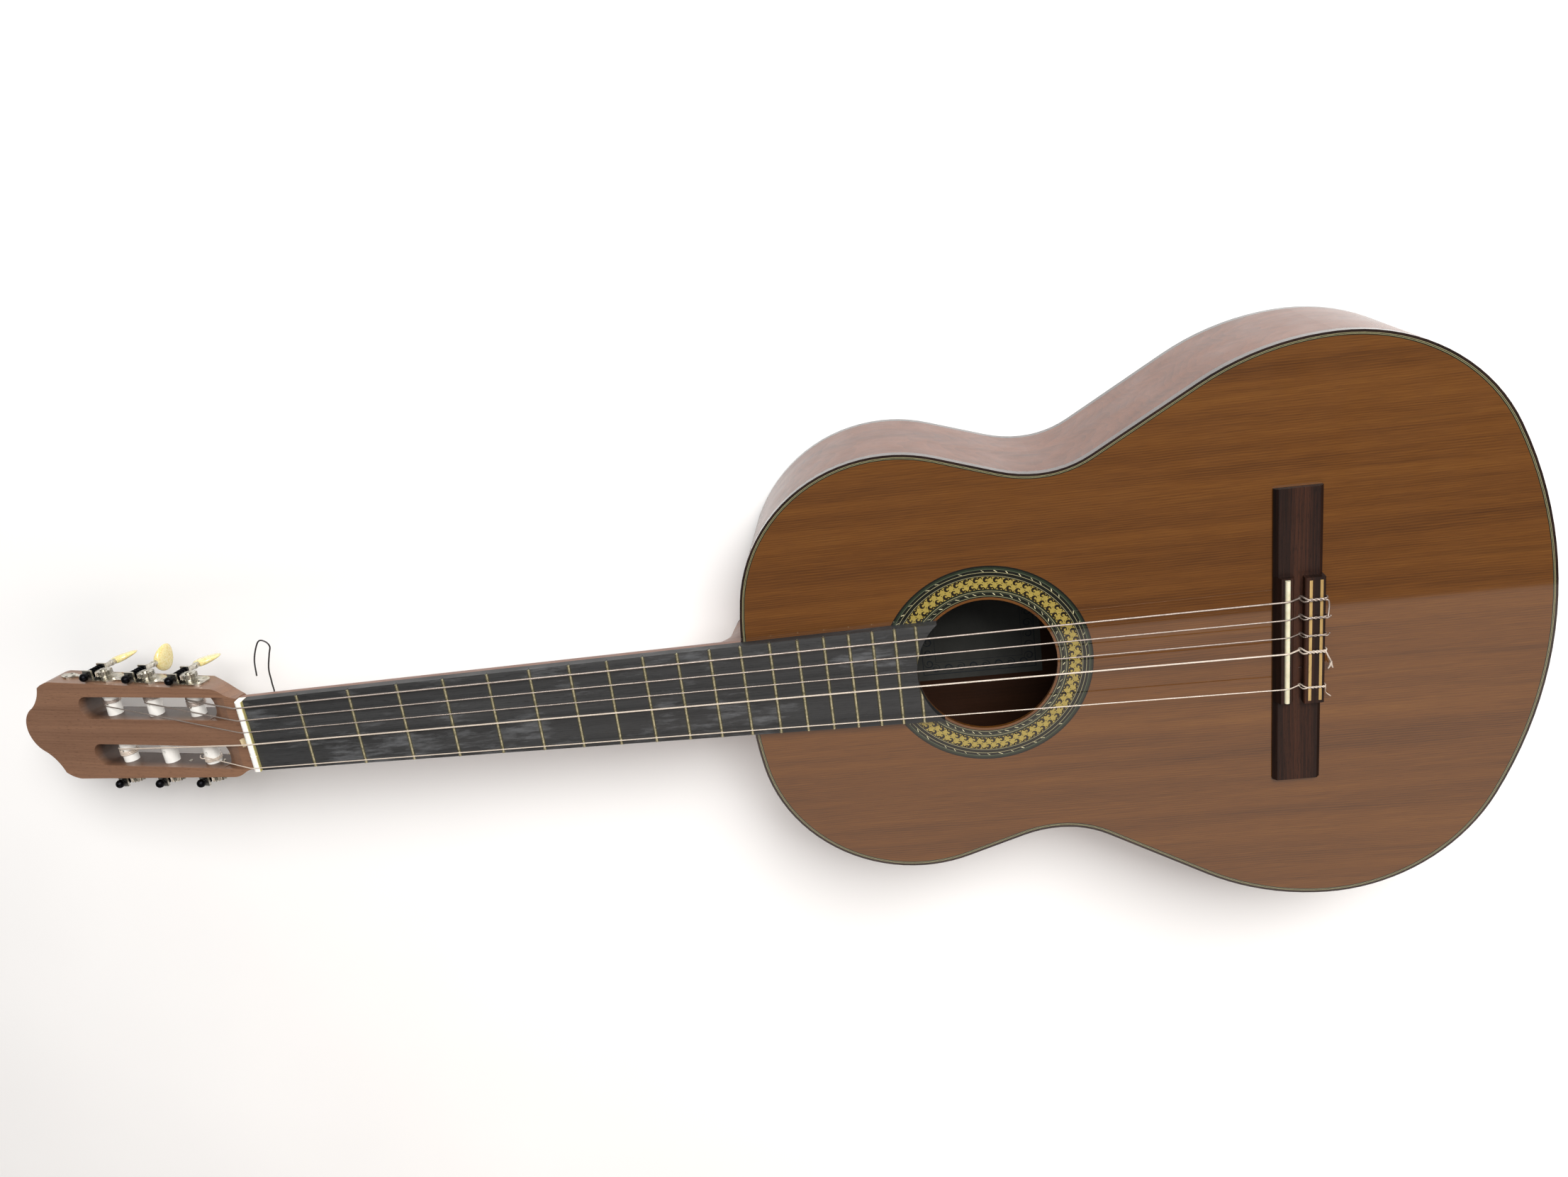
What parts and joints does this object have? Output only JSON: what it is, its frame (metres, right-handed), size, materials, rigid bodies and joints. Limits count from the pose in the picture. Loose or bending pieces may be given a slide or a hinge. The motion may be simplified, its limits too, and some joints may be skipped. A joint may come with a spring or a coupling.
{
  "type": "classical guitar",
  "caption": "Nylon-string classical guitar with a slotted headstock, worm-geared tuners and one string missing, lying on its flat back.",
  "frame": {"origin": "middle of the flat back, half way along the body and on its centre line", "axes": "+X from the headstock to the tail, +Y to the bass strings' side, +Z out of the soundboard"},
  "size_m": [0.9948, 0.362, 0.1066],
  "materials": {
    "cedar": "gloss lacquer",
    "rosette": "gloss lacquer",
    "mahogany": "gloss lacquer",
    "brace_wood": "raw",
    "binding": "gloss lacquer",
    "purfling": "gloss lacquer",
    "label": "matt",
    "neck_wood": "satin lacquer",
    "fingerboard_wood": "bare, worn",
    "fret_wire": "worn bright",
    "bone": "polished",
    "shim": "raw",
    "rosewood": "satin",
    "trim": "polished",
    "nickel": "plated, lightly tarnished",
    "worm_black": "satin",
    "pearl": "pearloid, polished",
    "roller_plastic": "polished",
    "wound_string": "silver-plated winding",
    "nylon": "clear, drawn"
  },
  "bodies": {
    "root": {"top_binding": "binding", "back_binding": "binding", "top_purfling": "purfling", "back_plate": "mahogany", "rib_bass": "mahogany", "rib_treble": "mahogany", "tail_block": "brace_wood", "linings": "brace_wood", "rosette": "rosette", "soundboard": "cedar", "top_braces": "brace_wood", "back_braces": "brace_wood", "soundhole_label": "label", "neck": "neck_wood", "heel_cap": "neck_wood", "fingerboard": "fingerboard_wood", "frets": "fret_wire", "nut": "bone", "nut_shim": "shim", "tuner_screws": "nickel", "headstock": "neck_wood", "tuner_plate_bass": "nickel", "tuner_plate_treble": "nickel", "tie_block_trims": "trim", "bridge": "rosewood", "saddle": "bone", "string_sixth": "wound_string", "string_fifth": "wound_string", "string_fourth": "wound_string", "string_third": "nylon", "string_first": "nylon"},
    "peg_bass_1": {"worm_bass_1": "worm_black", "button_bass_1": "pearl"},
    "capstan_bass_1": {"gear_bass_1": "nickel", "roller_bass_1": "roller_plastic", "wrap_sixth": "wound_string"},
    "peg_bass_2": {"worm_bass_2": "worm_black", "button_bass_2": "pearl"},
    "capstan_bass_2": {"gear_bass_2": "nickel", "roller_bass_2": "roller_plastic", "wrap_fifth": "wound_string"},
    "peg_bass_3": {"worm_bass_3": "worm_black", "button_bass_3": "pearl"},
    "capstan_bass_3": {"gear_bass_3": "nickel", "roller_bass_3": "roller_plastic", "wrap_fourth": "wound_string"},
    "peg_treble_1": {"worm_treble_1": "worm_black", "button_treble_1": "pearl"},
    "capstan_treble_1": {"gear_treble_1": "nickel", "roller_treble_1": "roller_plastic", "wrap_first": "nylon"},
    "peg_treble_2": {"worm_treble_2": "worm_black", "button_treble_2": "pearl"},
    "capstan_treble_2": {"gear_treble_2": "nickel", "roller_treble_2": "roller_plastic"},
    "peg_treble_3": {"worm_treble_3": "worm_black", "button_treble_3": "pearl"},
    "capstan_treble_3": {"gear_treble_3": "nickel", "roller_treble_3": "roller_plastic", "wrap_third": "nylon"}
  },
  "joints": [
    {"name": "peg_turn_bass_1", "type": "hinge", "parent": "root", "child": "peg_bass_1", "pos_m": [-0.6187, 0.03786, 0.07806], "axis": [-0.2164, 0, 0.9763], "continuous": true},
    {"name": "capstan_turn_bass_1", "type": "hinge", "parent": "root", "child": "capstan_bass_1", "pos_m": [-0.61154, 0.03304, 0.07965], "axis": [0.0353, 0.9993, 0.0078], "continuous": true},
    {"name": "peg_turn_bass_2", "type": "hinge", "parent": "root", "child": "peg_bass_2", "pos_m": [-0.65287, 0.03913, 0.07048], "axis": [-0.2164, 0, 0.9763], "continuous": true},
    {"name": "capstan_turn_bass_2", "type": "hinge", "parent": "root", "child": "capstan_bass_2", "pos_m": [-0.64571, 0.03431, 0.07207], "axis": [0.0353, 0.9993, 0.0078], "continuous": true},
    {"name": "peg_turn_bass_3", "type": "hinge", "parent": "root", "child": "peg_bass_3", "pos_m": [-0.68704, 0.04039, 0.06291], "axis": [-0.2164, 0, 0.9763], "continuous": true},
    {"name": "capstan_turn_bass_3", "type": "hinge", "parent": "root", "child": "capstan_bass_3", "pos_m": [-0.67988, 0.03557, 0.0645], "axis": [0.0353, 0.9993, 0.0078], "continuous": true},
    {"name": "peg_turn_treble_1", "type": "hinge", "parent": "root", "child": "peg_treble_1", "pos_m": [-0.6187, -0.03786, 0.07806], "axis": [-0.2164, 0, 0.9763], "continuous": true},
    {"name": "capstan_turn_treble_1", "type": "hinge", "parent": "root", "child": "capstan_treble_1", "pos_m": [-0.61154, -0.03304, 0.07965], "axis": [0.0353, -0.9993, 0.0078], "continuous": true},
    {"name": "peg_turn_treble_2", "type": "hinge", "parent": "root", "child": "peg_treble_2", "pos_m": [-0.65287, -0.03913, 0.07048], "axis": [-0.2164, 0, 0.9763], "continuous": true},
    {"name": "capstan_turn_treble_2", "type": "hinge", "parent": "root", "child": "capstan_treble_2", "pos_m": [-0.64571, -0.03431, 0.07207], "axis": [0.0353, -0.9993, 0.0078], "continuous": true},
    {"name": "peg_turn_treble_3", "type": "hinge", "parent": "root", "child": "peg_treble_3", "pos_m": [-0.68704, -0.04039, 0.06291], "axis": [-0.2164, 0, 0.9763], "continuous": true},
    {"name": "capstan_turn_treble_3", "type": "hinge", "parent": "root", "child": "capstan_treble_3", "pos_m": [-0.67988, -0.03557, 0.0645], "axis": [0.0353, -0.9993, 0.0078], "continuous": true}
  ],
  "couplings": [
    {"joint": "capstan_turn_bass_1", "follows": "peg_turn_bass_1", "ratio": -0.071429},
    {"joint": "capstan_turn_bass_2", "follows": "peg_turn_bass_2", "ratio": -0.071429},
    {"joint": "capstan_turn_bass_3", "follows": "peg_turn_bass_3", "ratio": -0.071429},
    {"joint": "capstan_turn_treble_1", "follows": "peg_turn_treble_1", "ratio": 0.071429},
    {"joint": "capstan_turn_treble_2", "follows": "peg_turn_treble_2", "ratio": 0.071429},
    {"joint": "capstan_turn_treble_3", "follows": "peg_turn_treble_3", "ratio": 0.071429}
  ]
}
